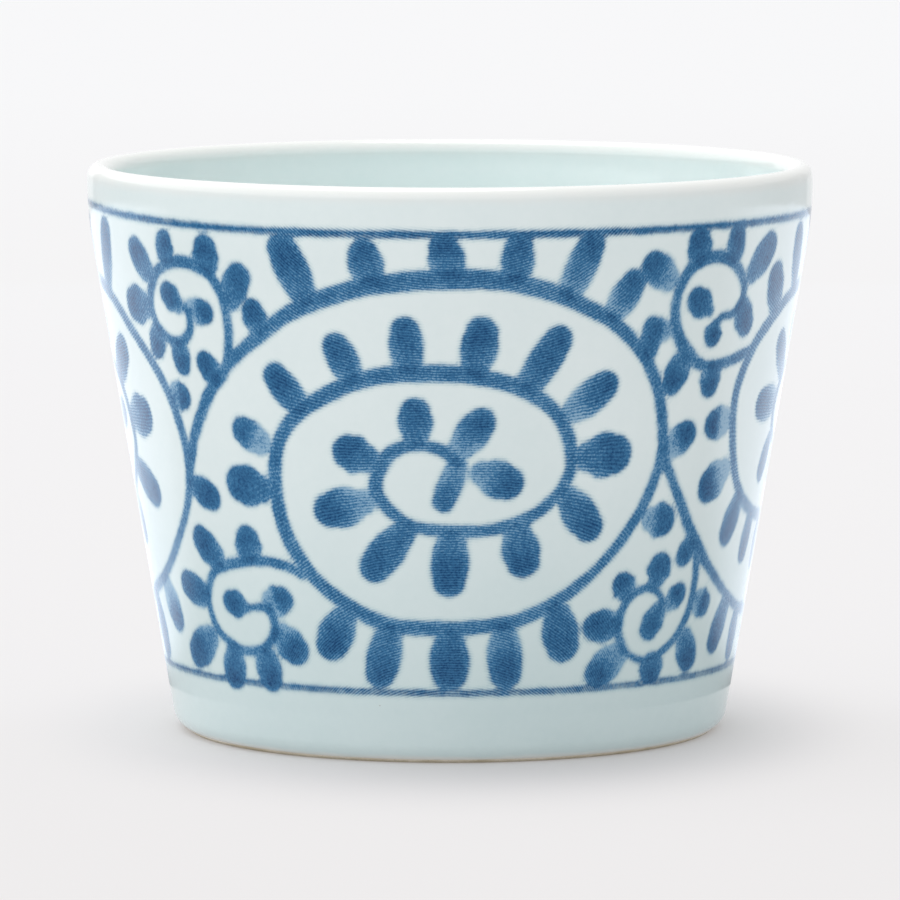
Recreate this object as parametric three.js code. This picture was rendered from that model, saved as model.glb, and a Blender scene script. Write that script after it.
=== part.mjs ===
import * as THREE from 'three';

// Flared porcelain cup without a handle, standing on a low foot ring.
// Millimetres, +Z up the cup's axis, origin at the centre of the circle it stands on.
// Every layer is a solid of revolution. The glaze coats and the clay share their
// meeting surface, so each layer lies on the next one with no gap and no overlap.

// Driving dimensions
const HEIGHT = 64.2;            // table to the crest of the lip
const RIM_RADIUS = 41;          // widest point, on the outside of the lip
const CONE_BASE_RADIUS = 31.11; // outer wall line carried down to the table
const CONE_SLOPE = 0.168;       // growth of the outer radius with height
const GLAZE = 0.3;              // thickness of every glaze coat
const SEGMENTS = 48;            // facets round the axis

// Lip
const CREST_RADIUS = 39.75;
const LIP_OUTER_DROP = 1.4;     // height of the rounding on the outside
const LIP_INNER_DROP = 1.7;     // height of the rounding on the inside
const MOUTH_RADIUS = 38.3;      // inside of the wall, just under the lip
const COLLAR_BLEND = 3;         // half the length over which the cone turns upright

// Inside
const FLOOR_HEIGHT = 7.2;       // top of the floor at the centre
const INNER_SLOPE = 0.19;
const FLOOR_FILLET = 8;

// Heel and foot ring
const HEEL_RADIUS = 2.4;
const HEEL_END_ANGLE = 62;      // degrees from the horizontal where the glaze stops
const GLAZE_LINE = 0.4;         // height of the bare clay edge at the foot
const FOOT_OUTER_RADIUS = 29.75;
const FOOT_INNER_RADIUS = 26.2;
const WELL_RADIUS = 25.6;       // recess inside the foot ring
const WELL_DEPTH = 2.2;
const WELL_FILLET = 1.2;

// Facets along each rounded stretch of the profile
const HEEL_STEPS = 4;
const COLLAR_STEPS = 2;
const LIP_STEPS = 4;
const FLOOR_STEPS = 5;
const WELL_STEPS = 3;

const radians = THREE.MathUtils.degToRad;

/** Points on an elliptical arc, with the outward normal at each one. */
function arc(centre, radiusR, radiusZ, fromDegrees, toDegrees, steps, side = 1) {
  const samples = [];
  for (let i = 0; i <= steps; i += 1) {
    const angle = radians(THREE.MathUtils.lerp(fromDegrees, toDegrees, i / steps));
    const offset = new THREE.Vector2(radiusR * Math.cos(angle), radiusZ * Math.sin(angle));
    const normal = new THREE.Vector2(Math.cos(angle) / radiusR, Math.sin(angle) / radiusZ);
    samples.push({ point: offset.add(centre), normal: normal.normalize().multiplyScalar(side) });
  }
  return samples;
}

/** The same surface moved into the clay by the thickness of the glaze. */
function underGlaze(surface) {
  return surface.map(({ point, normal }) => point.clone().addScaledVector(normal, -GLAZE));
}

function points(surface) {
  return surface.map(({ point }) => point.clone());
}

/** Outer face, from the glaze line at the foot up to the crest of the lip. */
function outerSurface() {
  const coneAngle = Math.atan(CONE_SLOPE);
  const coneDegrees = THREE.MathUtils.radToDeg(coneAngle);
  const heelCentreZ = GLAZE_LINE + HEEL_RADIUS * Math.sin(radians(HEEL_END_ANGLE));
  const tangentZ = heelCentreZ - HEEL_RADIUS * Math.sin(coneAngle);
  const tangentR = CONE_BASE_RADIUS + CONE_SLOPE * tangentZ;
  const heelCentre = new THREE.Vector2(tangentR - HEEL_RADIUS * Math.cos(coneAngle), heelCentreZ);
  const heel = arc(heelCentre, HEEL_RADIUS, HEEL_RADIUS, -HEEL_END_ANGLE, -coneDegrees, HEEL_STEPS);

  const collarRadius = COLLAR_BLEND / Math.tan(coneAngle / 2);
  const bendZ = (RIM_RADIUS - CONE_BASE_RADIUS) / CONE_SLOPE;
  const collarCentre = new THREE.Vector2(RIM_RADIUS - collarRadius, bendZ + COLLAR_BLEND);
  const collar = arc(collarCentre, collarRadius, collarRadius, -coneDegrees, 0, COLLAR_STEPS);

  const lipCentre = new THREE.Vector2(CREST_RADIUS, HEIGHT - LIP_OUTER_DROP);
  const lip = arc(lipCentre, RIM_RADIUS - CREST_RADIUS, LIP_OUTER_DROP, 0, 90, LIP_STEPS);
  return [...heel, ...collar, ...lip];
}

/** Inner face, from the crest of the lip down to the centre of the floor. */
function innerSurface() {
  const lipCentre = new THREE.Vector2(CREST_RADIUS, HEIGHT - LIP_INNER_DROP);
  const wallDegrees = THREE.MathUtils.radToDeg(Math.atan(INNER_SLOPE));
  const lip = arc(lipCentre, CREST_RADIUS - MOUTH_RADIUS, LIP_INNER_DROP, 90, 180, LIP_STEPS);

  const wallAngle = radians(wallDegrees);
  const filletCentreZ = FLOOR_HEIGHT + FLOOR_FILLET;
  const touchZ = filletCentreZ - FLOOR_FILLET * Math.sin(wallAngle);
  const touchR = MOUTH_RADIUS - INNER_SLOPE * (HEIGHT - LIP_INNER_DROP - touchZ);
  const filletCentre = new THREE.Vector2(touchR - FLOOR_FILLET * Math.cos(wallAngle), filletCentreZ);
  const fillet = arc(filletCentre, FLOOR_FILLET, FLOOR_FILLET, -wallDegrees, -90, FLOOR_STEPS, -1);
  const centre = { point: new THREE.Vector2(0, FLOOR_HEIGHT), normal: new THREE.Vector2(0, 1) };
  return [...lip, ...fillet, centre];
}

/** Ceiling and side of the recess under the cup, from the centre to the glaze line. */
function wellSurface() {
  const centre = { point: new THREE.Vector2(0, WELL_DEPTH), normal: new THREE.Vector2(0, -1) };
  const filletCentre = new THREE.Vector2(WELL_RADIUS - WELL_FILLET, WELL_DEPTH - WELL_FILLET);
  const fillet = arc(filletCentre, WELL_FILLET, WELL_FILLET, 90, 0, WELL_STEPS, -1);
  const edge = {
    point: new THREE.Vector2(WELL_RADIUS, GLAZE_LINE),
    normal: new THREE.Vector2(-1, 0),
  };
  return [centre, ...fillet, edge];
}

const outer = outerSurface();
const inner = innerSurface();
const well = wellSurface();

/** Fired clay: recess, bare foot ring, wall, lip and floor in one piece. */
function bodyProfile() {
  const footRing = [
    new THREE.Vector2(WELL_RADIUS, GLAZE_LINE),
    new THREE.Vector2(FOOT_INNER_RADIUS, 0),
    new THREE.Vector2(FOOT_OUTER_RADIUS, 0),
    outer[0].point.clone(),
  ];
  return [...underGlaze(well), ...footRing, ...underGlaze(outer), ...underGlaze(inner).slice(1)];
}

const cup = new THREE.Group();

/** Turns a profile round the vertical axis and adds it to the cup as a named mesh. */
function addTurned(name, profile, look) {
  const geometry = new THREE.LatheGeometry(profile, SEGMENTS);
  geometry.rotateX(Math.PI / 2);
  const mesh = new THREE.Mesh(geometry, new THREE.MeshStandardMaterial(look));
  mesh.name = name;
  cup.add(mesh);
}

// The outer coat is a ring, so its profile closes on itself. The other coats cross the
// axis, so theirs start and end on it. All of them run anticlockwise.
const outerCoat = [...points(outer), ...underGlaze(outer).reverse(), outer[0].point.clone()];
const innerCoat = [...underGlaze(inner).reverse(), ...points(inner)];
const wellCoat = [...points(well), ...underGlaze(well).reverse()];

const glazeFinish = { roughness: 0.08, metalness: 0 };
addTurned('porcelain_body', bodyProfile(), { color: 0xe4ddcf, roughness: 0.7, metalness: 0 });
addTurned('outer_glaze', outerCoat, { color: 0xdce8ea, ...glazeFinish });
addTurned('inner_glaze', innerCoat, { color: 0xc7dcdd, ...glazeFinish });
addTurned('base_glaze', wellCoat, { color: 0xd6e2e2, ...glazeFinish });

export default cup;
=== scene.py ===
"""Blue-and-white porcelain cup: its fired clay, its glaze coats and the cobalt print under them."""
import logging
import math
from dataclasses import dataclass, field
from enum import Enum

import bpy
import numpy as np
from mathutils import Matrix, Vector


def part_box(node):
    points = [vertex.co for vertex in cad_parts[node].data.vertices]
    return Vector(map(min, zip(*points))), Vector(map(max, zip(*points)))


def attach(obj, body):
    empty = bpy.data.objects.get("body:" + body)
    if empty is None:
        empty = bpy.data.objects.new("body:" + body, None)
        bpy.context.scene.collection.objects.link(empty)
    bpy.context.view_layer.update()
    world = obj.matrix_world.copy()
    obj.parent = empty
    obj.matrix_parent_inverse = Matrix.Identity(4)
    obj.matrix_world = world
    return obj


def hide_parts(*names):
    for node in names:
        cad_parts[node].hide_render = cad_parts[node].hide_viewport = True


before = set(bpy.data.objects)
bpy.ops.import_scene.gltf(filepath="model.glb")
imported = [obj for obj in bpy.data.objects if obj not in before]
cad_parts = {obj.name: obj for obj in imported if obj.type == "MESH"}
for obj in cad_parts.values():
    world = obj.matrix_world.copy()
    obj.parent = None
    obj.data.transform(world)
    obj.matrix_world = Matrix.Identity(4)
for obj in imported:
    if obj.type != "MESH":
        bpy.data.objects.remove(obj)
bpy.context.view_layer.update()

MM = 0.001
DEGREE = math.pi / 180
BODY = "root"
BLACK = "000000"
QUARTER = 90.0
log = logging.getLogger("cup")

Colour = tuple[float, float, float, float]
Place = tuple[float, float]
Span = tuple[float, float]
Socket = bpy.types.NodeSocket


# ---------------- the cup's section


def arc(centre: Place, radii: Place, start: float, end: float, steps: int) -> np.ndarray:
    """Points along an elliptical arc of the section.

    Args:
        centre: Radius and height of the arc's centre, in millimetres.
        radii: Half axes along the radius and along the height.
        start: Angle of the first point, in degrees from the outward radius.
        end: Angle of the last point.
        steps: Number of steps between them.

    Returns:
        An array of steps + 1 rows of radius and height.
    """
    angles = np.linspace(start, end, steps + 1) * DEGREE
    return np.stack([centre[0] + radii[0] * np.cos(angles), centre[1] + radii[1] * np.sin(angles)], 1)


def line(start: Place, end: Place, step: float) -> np.ndarray:
    """Points along a straight stretch of the section, without its two ends.

    Args:
        start: Radius and height where it starts, in millimetres.
        end: Radius and height where it ends.
        step: Largest distance between two points.

    Returns:
        An array of rows of radius and height.
    """
    first, last = np.array(start, float), np.array(end, float)
    count = max(1, math.ceil(np.linalg.norm(last - first) / step))
    return first + (last - first) * np.arange(1, count)[:, None] / count


def inset(skin: np.ndarray, depth: float) -> np.ndarray:
    """The same stretch of section, moved to its left, which is into the clay.

    Args:
        skin: Rows of radius and height, running anticlockwise round the clay.
        depth: Distance moved, in millimetres.

    Returns:
        The moved rows.
    """
    along = np.gradient(skin, axis=0)
    along /= np.linalg.norm(along, axis=1)[:, None]
    moved = skin + depth * np.stack([-along[:, 1], along[:, 0]], 1)
    moved[:, 0] = np.maximum(moved[:, 0], 0.0)
    return moved


@dataclass(frozen=True)
class CupSection:
    """Outline of the cup from foot to lip and down the inside, in millimetres."""

    rim_radius: float
    height: float
    cone_base_radius: float = 31.11
    cone_slope: float = 0.168
    glaze: float = 0.3
    crest_inset: float = 1.25
    lip_outer_drop: float = 1.4
    lip_inner_drop: float = 1.7
    mouth_radius: float = 38.3
    collar_blend: float = 3.0
    floor_height: float = 7.2
    inner_slope: float = 0.19
    floor_fillet: float = 8.0
    heel_radius: float = 2.4
    heel_end: float = 62.0
    glaze_line: float = 0.4
    foot_outer: float = 29.75
    foot_inner: float = 26.2
    well_radius: float = 25.6
    well_depth: float = 2.2
    well_fillet: float = 1.2
    heel_steps: int = 12
    collar_steps: int = 14
    lip_steps: int = 18
    floor_steps: int = 20
    well_steps: int = 10

    @property
    def crest(self) -> Place:
        """Radius and height of the lip's highest ring."""
        return self.rim_radius - self.crest_inset, self.height

    def wall_radius(self, height: np.ndarray) -> np.ndarray:
        """Radius of the outer wall at the given heights, with the collar left straight."""
        return np.minimum(self.cone_base_radius + self.cone_slope * height, self.rim_radius)

    def outside(self, step: float) -> np.ndarray:
        """Outer skin, from the glaze line at the foot up to the crest.

        Args:
            step: Largest distance between two points of the straight wall.

        Returns:
            Rows of radius and height.
        """
        slant = math.atan(self.cone_slope)
        slant_degrees = slant / DEGREE
        heel_z = self.glaze_line + self.heel_radius * math.sin(self.heel_end * DEGREE)
        touch_z = heel_z - self.heel_radius * math.sin(slant)
        touch_r = self.cone_base_radius + self.cone_slope * touch_z
        heel_r = touch_r - self.heel_radius * math.cos(slant)
        heel = arc((heel_r, heel_z), (self.heel_radius,) * 2, -self.heel_end, -slant_degrees, self.heel_steps)
        bend = self.collar_blend / math.tan(slant / 2)
        bend_z = (self.rim_radius - self.cone_base_radius) / self.cone_slope
        collar_centre = (self.rim_radius - bend, bend_z + self.collar_blend)
        collar = arc(collar_centre, (bend, bend), -slant_degrees, 0, self.collar_steps)
        lip_centre = (self.crest[0], self.height - self.lip_outer_drop)
        lip = arc(lip_centre, (self.crest_inset, self.lip_outer_drop), 0, 90, self.lip_steps)
        wall = line(heel[-1], collar[0], step)
        neck = line(collar[-1], lip[0], step)
        return np.concatenate([heel, wall, collar, neck, lip])

    def inside(self, step: float) -> np.ndarray:
        """Inner skin, from the crest down to the centre of the floor.

        Args:
            step: Largest distance between two points of the straight stretches.

        Returns:
            Rows of radius and height.
        """
        slant = math.atan(self.inner_slope)
        lip_centre = (self.crest[0], self.height - self.lip_inner_drop)
        lip_radii = (self.crest[0] - self.mouth_radius, self.lip_inner_drop)
        lip = arc(lip_centre, lip_radii, 90, 180, self.lip_steps)
        fillet_z = self.floor_height + self.floor_fillet
        touch_z = fillet_z - self.floor_fillet * math.sin(slant)
        touch_r = self.mouth_radius - self.inner_slope * (lip_centre[1] - touch_z)
        fillet_r = touch_r - self.floor_fillet * math.cos(slant)
        fillet = arc((fillet_r, fillet_z), (self.floor_fillet,) * 2, -slant / DEGREE, -90, self.floor_steps)
        wall = line(lip[-1], fillet[0], step)
        floor = line(fillet[-1], (0.0, self.floor_height), step)
        return np.concatenate([lip, wall, fillet, floor, [(0.0, self.floor_height)]])

    def well(self, step: float) -> np.ndarray:
        """Skin of the recess under the cup, from its centre to the glaze line.

        Args:
            step: Largest distance between two points of the ceiling.

        Returns:
            Rows of radius and height.
        """
        centre = (self.well_radius - self.well_fillet, self.well_depth - self.well_fillet)
        corner = arc(centre, (self.well_fillet,) * 2, 90, 0, self.well_steps)
        ceiling = line((0.0, self.well_depth), corner[0], step)
        edge = [(self.well_radius, self.glaze_line)]
        return np.concatenate([[(0.0, self.well_depth)], ceiling, corner, edge])


# ---------------- the painted print


@dataclass(frozen=True)
class Vine:
    """A painted stem, drawn through places given as degrees round, height and width in millimetres."""

    places: tuple[tuple[float, float, float], ...]
    tone: float = 0.86

    def beads(self, steps: int = 5) -> np.ndarray:
        """The stem as closely set places on a smooth line through the given ones.

        Args:
            steps: Number of short steps between two given places.

        Returns:
            Rows of degrees, height and width.
        """
        knots = np.array([self.places[0], *self.places, self.places[-1]], float)
        shares = np.linspace(0, 1, steps, endpoint=False)[:, None]
        runs = []
        for before, first, last, after in zip(knots, knots[1:], knots[2:], knots[3:]):
            bend = 2 * before - 5 * first + 4 * last - after
            twist = 3 * first - before - 3 * last + after
            runs.append(first + (last - before) * shares / 2 + bend * shares**2 / 2 + twist * shares**3 / 2)
        return np.concatenate([*runs, knots[-1:]])


@dataclass(frozen=True)
class Leaf:
    """A painted leaf: where its root and its tip are, how wide it is and how its ink thins out."""

    root: Place
    tip: Place
    width: float
    neck: float = 0.78
    fade: float = 0.22


@dataclass(frozen=True)
class Panel:
    """A part of the print that repeats round the cup: its stems and its leaves."""

    vines: tuple[Vine, ...]
    leaves: tuple[Leaf, ...]


FRONT_SCROLL = Vine((
    (-52.3, 31.6, 1.3), (-49.5, 35.6, 1.35), (-44.0, 40.8, 1.35), (-38.0, 44.7, 1.3), (-32.0, 47.6, 1.45),
    (-26.0, 50.3, 1.6), (-20.0, 52.0, 1.85), (-14.0, 53.3, 1.9), (-7.0, 54.0, 2.0), (1.0, 54.3, 2.1),
    (8.0, 54.1, 2.0), (15.0, 53.0, 1.8), (22.0, 51.0, 1.6), (28.0, 48.6, 1.4), (33.5, 45.0, 1.3),
    (37.0, 41.0, 1.3), (39.0, 36.0, 1.3), (38.7, 32.5, 1.25), (36.3, 28.5, 1.25), (32.0, 24.5, 1.1),
    (26.5, 21.0, 1.05), (20.0, 18.2, 1.35), (12.5, 16.2, 1.4), (4.0, 15.5, 1.5), (-4.0, 15.4, 1.5),
    (-12.0, 15.8, 1.55), (-20.0, 18.1, 1.45), (-26.5, 21.4, 1.5), (-30.4, 25.4, 1.6), (-31.8, 30.0, 1.6),
    (-31.0, 34.6, 1.5), (-27.6, 38.2, 1.45), (-20.5, 41.4, 1.65), (-12.5, 43.4, 1.75), (-3.5, 43.9, 1.8),
    (5.0, 43.5, 1.7), (12.4, 41.9, 1.6), (18.0, 39.2, 1.4), (20.9, 35.2, 1.35), (20.5, 31.8, 1.2),
    (16.0, 28.5, 1.2), (8.5, 26.6, 1.2), (0.5, 26.3, 1.3), (-7.0, 27.0, 1.15), (-11.7, 29.4, 1.35),
    (-12.8, 31.8, 1.45), (-10.4, 34.8, 1.4), (-6.0, 35.9, 1.15), (-1.5, 35.4, 1.2), (1.3, 34.0, 1.3),
))
UPPER_LEFT_CURL = Vine((
    (-40.6, 42.8, 1.2), (-38.8, 45.3, 1.1), (-38.3, 48.9, 1.1), (-39.1, 52.0, 1.1), (-41.5, 54.2, 1.2),
    (-46.5, 55.2, 1.3), (-51.5, 54.6, 1.2), (-55.2, 52.7, 1.2), (-56.8, 50.0, 1.2), (-55.8, 47.8, 1.1),
    (-52.8, 46.3, 1.1), (-49.4, 46.2, 1.1), (-47.2, 47.4, 1.0), (-46.7, 49.0, 0.9), (-47.6, 50.2, 0.8),
))
UPPER_RIGHT_CURL = Vine((
    (58.8, 44.6, 1.2), (54.0, 43.9, 1.1), (49.8, 43.6, 1.0), (45.6, 43.8, 1.2), (42.4, 45.2, 1.6),
    (39.9, 47.2, 1.4), (38.5, 50.2, 1.2), (39.3, 53.2, 1.3), (42.0, 55.1, 1.4), (46.5, 55.8, 1.4),
    (51.0, 54.8, 1.3), (54.2, 52.6, 1.1), (54.4, 50.6, 1.0), (52.4, 49.2, 0.9), (49.8, 49.0, 0.8),
    (48.4, 48.4, 0.9),
))
LOWER_LEFT_CURL = Vine((
    (-28.0, 21.0, 1.0), (-31.0, 21.8, 1.0), (-36.0, 22.2, 1.0), (-41.5, 21.8, 1.1), (-47.5, 20.9, 1.1),
    (-50.8, 19.2, 0.9), (-52.0, 16.6, 0.9), (-50.8, 14.1, 0.9), (-47.5, 12.5, 0.9), (-42.5, 11.7, 0.9),
    (-38.0, 12.3, 0.9), (-35.3, 14.1, 1.0), (-35.3, 15.9, 1.0), (-37.2, 16.9, 0.9), (-41.0, 16.6, 0.5),
))
LOWER_RIGHT_CURL = Vine((
    (51.0, 23.3, 1.0), (52.2, 20.2, 1.0), (52.2, 17.4, 1.0), (51.0, 14.9, 0.95), (48.0, 12.6, 0.9),
    (44.0, 11.2, 0.7), (40.0, 10.8, 0.6), (36.4, 11.7, 0.6), (34.2, 13.3, 0.8), (33.4, 15.3, 0.9),
    (34.6, 17.5, 0.9), (37.5, 18.8, 0.8), (40.5, 18.9, 0.8), (43.0, 17.9, 0.6), (44.2, 16.4, 0.5),
))
SIDE_SCROLL = Vine((
    (-51.2, 36.0, 1.2), (-50.0, 33.4, 1.2), (-47.4, 30.8, 1.1), (-42.0, 25.7, 1.4), (-38.5, 23.1, 1.6),
    (-34.0, 20.6, 1.1), (-28.3, 18.1, 1.0), (-22.0, 16.0, 1.0), (-14.0, 14.5, 1.1), (-5.0, 14.0, 1.3),
    (4.0, 14.9, 1.3), (12.0, 16.5, 1.2), (20.0, 18.4, 1.1), (26.0, 20.8, 1.0), (31.5, 24.2, 1.0),
    (35.5, 27.6, 1.0), (37.4, 31.0, 1.2), (37.3, 35.0, 1.2), (35.0, 39.6, 1.3), (31.0, 43.2, 1.3),
    (24.4, 46.9, 1.3), (17.5, 49.9, 1.4), (9.0, 51.4, 1.5), (0.0, 51.7, 1.6), (-8.0, 51.0, 1.5),
    (-16.0, 50.1, 1.4), (-23.0, 48.2, 1.5), (-29.0, 45.4, 1.5), (-32.5, 41.6, 1.3), (-33.1, 38.2, 1.2),
    (-31.4, 33.8, 1.2), (-28.0, 29.8, 1.2), (-22.5, 27.0, 1.3), (-14.0, 25.2, 1.2), (-5.0, 24.8, 1.2),
    (4.0, 26.4, 1.2), (10.5, 29.0, 1.1), (15.3, 32.2, 1.1), (16.3, 35.0, 1.1), (13.5, 39.4, 1.2),
    (6.0, 42.3, 1.3), (-3.0, 42.6, 1.3), (-10.5, 40.4, 1.2), (-13.2, 37.2, 1.1), (-10.5, 34.2, 1.1),
    (-5.0, 33.1, 1.1), (1.0, 34.2, 1.0),
))

FRONT_LEAVES = (
    # over the top of the large oval
    Leaf((-23.0, 51.5), (-27.7, 58.9), 4.1), Leaf((-12.3, 53.6), (-13.9, 58.6), 3.9, 0.9),
    Leaf((0.2, 54.4), (-1.5, 59.3), 3.8, 0.95), Leaf((10.2, 54.0), (10.7, 59.3), 3.5, 0.95),
    Leaf((18.6, 52.0), (23.0, 59.3), 3.5, 0.8, 0.5), Leaf((26.3, 49.4), (31.0, 54.7), 3.5, 0.75, 0.6),
    Leaf((34.1, 44.9), (34.4, 49.6), 2.7), Leaf((-31.9, 47.7), (-33.6, 51.5), 3.1, 0.85),
    Leaf((-41.4, 41.8), (-45.5, 45.0), 3.2),
    # round the second turn
    Leaf((-25.2, 39.5), (-31.2, 44.2), 3.5, 0.85), Leaf((-15.7, 42.7), (-19.5, 48.0), 3.5, 0.85),
    Leaf((-6.7, 43.8), (-7.3, 50.1), 3.6, 0.88), Leaf((3.9, 43.6), (5.5, 50.1), 4.0),
    Leaf((12.4, 42.0), (18.8, 48.8), 3.6, 0.85), Leaf((19.8, 39.0), (28.2, 43.1), 3.8, 0.75, 0.5),
    Leaf((22.3, 34.4), (32.4, 34.4), 5.1, 0.68), Leaf((19.8, 30.6), (27.0, 25.2), 3.9, 0.7),
    Leaf((11.6, 27.0), (13.9, 21.1), 4.2, 0.75), Leaf((0.3, 26.2), (-0.3, 19.0), 4.0, 0.84),
    Leaf((-7.2, 27.0), (-15.4, 20.9), 3.8, 0.72), Leaf((-13.6, 29.7), (-24.3, 27.9), 4.3, 0.62, 0.6),
    Leaf((-33.0, 30.2), (-42.6, 30.9), 4.6, 0.68), Leaf((-32.6, 35.1), (-39.5, 37.5), 3.6, 0.84, 0.7),
    # round the innermost turn, and the leaf in which the stem ends
    Leaf((-12.8, 34.0), (-20.0, 35.6), 4.3, 0.74), Leaf((-5.6, 36.0), (-5.9, 41.1), 3.7, 0.76),
    Leaf((1.0, 34.9), (6.6, 39.7), 3.7, 0.76, 0.5), Leaf((4.0, 33.2), (12.5, 31.0), 4.2, 0.6, 0.5),
    Leaf((1.8, 34.4), (-1.8, 28.6), 2.6, 0.8, 0.45),
    # under the large oval
    Leaf((-19.3, 17.2), (-24.5, 11.7), 4.1, 0.72), Leaf((-11.0, 15.8), (-14.2, 8.6), 3.7, 0.76),
    Leaf((-0.1, 15.2), (-0.1, 8.4), 4.3, 0.76), Leaf((10.0, 15.8), (10.9, 8.5), 3.9, 0.72, 0.4),
    Leaf((19.8, 17.8), (22.6, 11.4), 4.2, 0.75), Leaf((36.8, 27.0), (44.0, 26.2), 4.0, 0.64, 0.7),
    # upper left curl
    Leaf((-38.3, 50.7), (-33.8, 55.2), 3.5, 0.88), Leaf((-41.5, 54.0), (-41.2, 58.4), 3.9, 0.88),
    Leaf((-50.8, 54.8), (-50.5, 58.6), 3.0, 0.95), Leaf((-55.8, 53.0), (-60.5, 57.1), 3.7, 0.82),
    Leaf((-57.2, 49.8), (-65.3, 49.7), 4.4, 0.72), Leaf((-55.2, 47.6), (-57.7, 44.0), 3.2, 0.9),
    Leaf((-50.3, 46.2), (-50.0, 42.4), 3.1, 0.95), Leaf((-47.4, 49.9), (-41.1, 49.6), 2.9, 0.75, 0.6),
    Leaf((-48.3, 49.9), (-53.0, 52.2), 3.2, 0.65), Leaf((-54.6, 40.0), (-49.2, 39.9), 3.4, 0.85, 0.5),
    Leaf((-52.6, 30.2), (-45.0, 28.3), 3.5, 0.72),
    # upper right curl
    Leaf((43.0, 55.0), (41.6, 59.2), 3.7, 0.95), Leaf((50.6, 55.0), (50.9, 59.2), 3.2, 0.95),
    Leaf((55.4, 52.9), (62.5, 57.4), 3.9, 0.66), Leaf((53.8, 50.4), (57.8, 46.7), 3.6, 0.84),
    Leaf((37.8, 53.0), (31.7, 56.2), 3.7, 0.74, 0.5), Leaf((38.0, 47.9), (33.0, 48.0), 2.9, 0.8, 0.5),
    Leaf((41.8, 45.0), (38.8, 40.8), 3.5, 0.9), Leaf((48.6, 43.6), (48.8, 40.0), 3.5, 0.95),
    Leaf((48.4, 48.6), (47.3, 45.7), 3.0, 0.5), Leaf((46.9, 49.5), (41.3, 51.8), 3.4, 0.35),
    Leaf((56.0, 37.0), (49.0, 36.8), 3.8, 0.8, 0.95), Leaf((40.0, 34.3), (46.4, 36.8), 3.6, 0.8, 0.7),
    # lower left curl
    Leaf((-39.4, 22.0), (-39.3, 26.0), 3.8, 0.95), Leaf((-46.8, 21.4), (-53.6, 24.8), 3.7, 0.86),
    Leaf((-52.0, 17.2), (-61.0, 18.8), 3.6, 0.84), Leaf((-51.6, 13.2), (-61.4, 9.6), 4.0, 0.68, 0.35),
    Leaf((-46.0, 12.2), (-47.7, 7.2), 3.6, 0.78), Leaf((-38.2, 12.2), (-36.9, 7.4), 3.5, 0.9),
    Leaf((-35.0, 14.6), (-28.8, 11.2), 3.9, 0.76, 0.5), Leaf((-36.8, 17.2), (-30.7, 18.4), 3.6, 0.78, 0.7),
    Leaf((-40.8, 16.6), (-47.4, 17.3), 3.1, 0.35),
    # lower right curl
    Leaf((35.5, 18.2), (32.2, 20.7), 3.2, 0.82), Leaf((41.0, 19.0), (42.5, 22.8), 3.7, 0.64),
    Leaf((34.0, 15.1), (25.8, 15.1), 3.8, 0.76), Leaf((35.2, 12.4), (27.6, 8.7), 3.9, 0.78, 0.65),
    Leaf((42.8, 11.2), (42.8, 7.9), 3.5, 1.0, 0.2), Leaf((49.8, 24.0), (46.9, 21.2), 2.8, 0.84),
    Leaf((50.6, 13.4), (55.0, 8.9), 3.6, 0.78, 0.35), Leaf((52.8, 17.0), (58.5, 15.8), 3.4, 0.78, 0.6),
    Leaf((43.4, 16.8), (40.0, 13.2), 3.2, 0.8), Leaf((44.6, 16.6), (49.5, 18.6), 2.9, 0.66, 0.45),
)
SIDE_LEAVES = (
    # under the large oval
    Leaf((-23.7, 16.3), (-27.9, 10.3), 3.6, 0.78), Leaf((-16.0, 14.6), (-16.5, 8.7), 3.2, 0.8),
    Leaf((-5.0, 14.0), (-5.2, 8.6), 3.6, 0.8), Leaf((3.6, 14.8), (4.0, 8.6), 3.5, 0.78),
    Leaf((11.2, 16.0), (13.6, 8.7), 4.4, 0.75), Leaf((20.9, 18.3), (25.4, 12.7), 4.0, 0.75, 0.8),
    # left of the second turn and under it
    Leaf((-32.0, 31.8), (-40.1, 28.9), 4.5, 0.62, 0.95), Leaf((-25.6, 28.2), (-29.8, 22.7), 3.7, 0.78),
    Leaf((-17.4, 25.8), (-19.2, 20.0), 3.3, 0.82), Leaf((-8.0, 24.9), (-8.8, 18.6), 3.3, 0.82),
    Leaf((0.5, 25.6), (1.6, 19.2), 3.3, 0.78), Leaf((7.0, 27.4), (10.6, 21.6), 3.4, 0.76),
    Leaf((14.3, 30.8), (25.5, 27.6), 4.1, 0.75), Leaf((16.5, 36.3), (27.2, 37.4), 4.8, 0.62, 0.6),
    Leaf((11.2, 40.5), (20.5, 45.1), 4.2, 0.8), Leaf((3.6, 42.4), (6.6, 48.4), 3.6, 0.82),
    Leaf((-5.0, 42.4), (-6.6, 48.3), 3.6, 0.82), Leaf((-10.6, 41.0), (-18.3, 45.8), 3.6, 0.82),
    Leaf((-13.0, 38.0), (-24.6, 38.2), 4.0, 0.72, 0.6), Leaf((-11.8, 34.0), (-16.6, 29.2), 3.6, 0.78),
    # round the innermost turn, and the leaf in which the stem ends
    Leaf((-5.4, 33.0), (-6.0, 28.2), 3.6, 0.76), Leaf((0.6, 34.0), (5.6, 29.6), 3.3, 0.78),
    Leaf((4.0, 35.6), (12.0, 37.0), 3.7, 0.62, 0.5), Leaf((1.2, 34.6), (-2.0, 40.2), 2.8, 0.8, 0.2),
    # over the top of the large oval
    Leaf((-22.5, 48.8), (-26.1, 54.2), 4.4, 0.84), Leaf((-13.5, 50.8), (-17.0, 58.3), 3.7, 0.78),
    Leaf((-4.6, 51.6), (-5.6, 58.9), 3.7, 0.82), Leaf((5.2, 51.7), (6.0, 58.8), 3.6, 0.82),
    Leaf((15.4, 50.9), (20.3, 59.0), 3.7, 0.78),
)
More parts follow.
